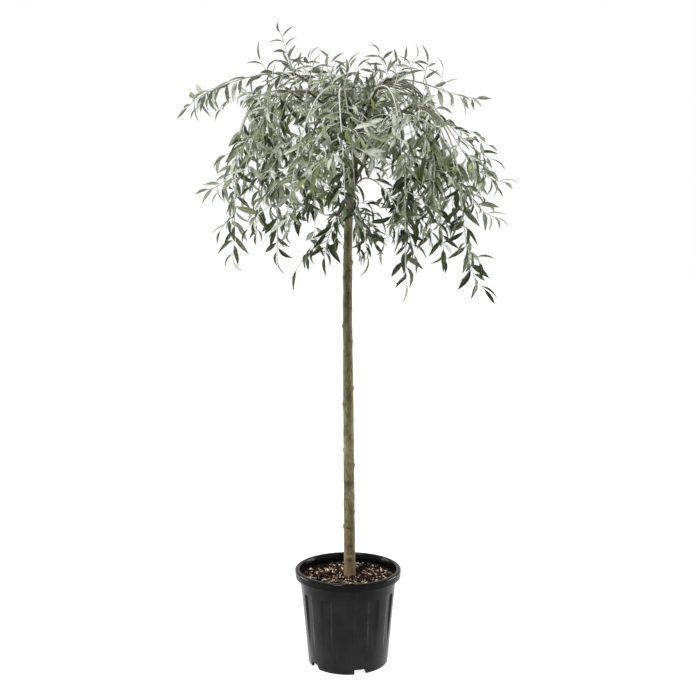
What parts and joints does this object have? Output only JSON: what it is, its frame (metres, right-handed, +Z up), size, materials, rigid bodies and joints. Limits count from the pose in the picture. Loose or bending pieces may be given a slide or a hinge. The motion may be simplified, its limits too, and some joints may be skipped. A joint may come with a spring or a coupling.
{
  "type": "potted weeping pear tree",
  "caption": "Weeping silver-leaved pear standard in a black fluted nursery pot: a bare upright trunk under an umbrella of arching boughs and hanging, narrow leaves.",
  "frame": {"origin": "on the floor under the middle of the pot", "axes": "+Z up along the trunk, -Y towards the front as pictured, +X to the right of that view"},
  "size_m": [0.8754, 0.8478, 1.6556],
  "materials": {
    "pot": "satin moulded black plastic",
    "compost": "dark bark compost, loose and matt",
    "trunk_bark": "smooth olive-brown bark with bud scars",
    "bough_bark": "dark young bark",
    "leaf": "grey-green leaves with silvery down"
  },
  "bodies": {
    "root": {"bough_back": "bough_bark", "bough_back_left": "bough_bark", "bough_back_right": "bough_bark", "bough_front": "bough_bark", "bough_front_left": "bough_bark", "bough_front_right": "bough_bark", "bough_left": "bough_bark", "bough_left_top": "bough_bark", "bough_right": "bough_bark", "bough_right_top": "bough_bark", "compost": "compost", "foliage_back_hang": "leaf", "foliage_back_high": "leaf", "foliage_back_left": "leaf", "foliage_back_left_hang": "leaf", "foliage_back_right": "leaf", "foliage_front_hang": "leaf", "foliage_front_inner": "leaf", "foliage_front_left": "leaf", "foliage_front_left_inner": "leaf", "foliage_front_left_out": "leaf", "foliage_front_long": "leaf", "foliage_front_right": "leaf", "foliage_front_right_out": "leaf", "foliage_inner_back": "leaf", "foliage_inner_left": "leaf", "foliage_inner_right": "leaf", "foliage_leader_back": "leaf", "foliage_leader_front": "leaf", "foliage_leader_left": "leaf", "foliage_leader_right": "leaf", "foliage_left_behind": "leaf", "foliage_left_hang": "leaf", "foliage_left_high": "leaf", "foliage_left_inner": "leaf", "foliage_left_low": "leaf", "foliage_left_mid": "leaf", "foliage_right_back_hang": "leaf", "foliage_right_behind": "leaf", "foliage_right_front": "leaf", "foliage_right_hang": "leaf", "foliage_right_high": "leaf", "foliage_right_inner": "leaf", "foliage_right_low": "leaf", "foliage_right_mid": "leaf", "foliage_right_top_inner": "leaf", "foliage_under_left": "leaf", "foliage_under_right": "leaf", "pot": "pot", "trunk": "trunk_bark"}
  },
  "joints": []
}
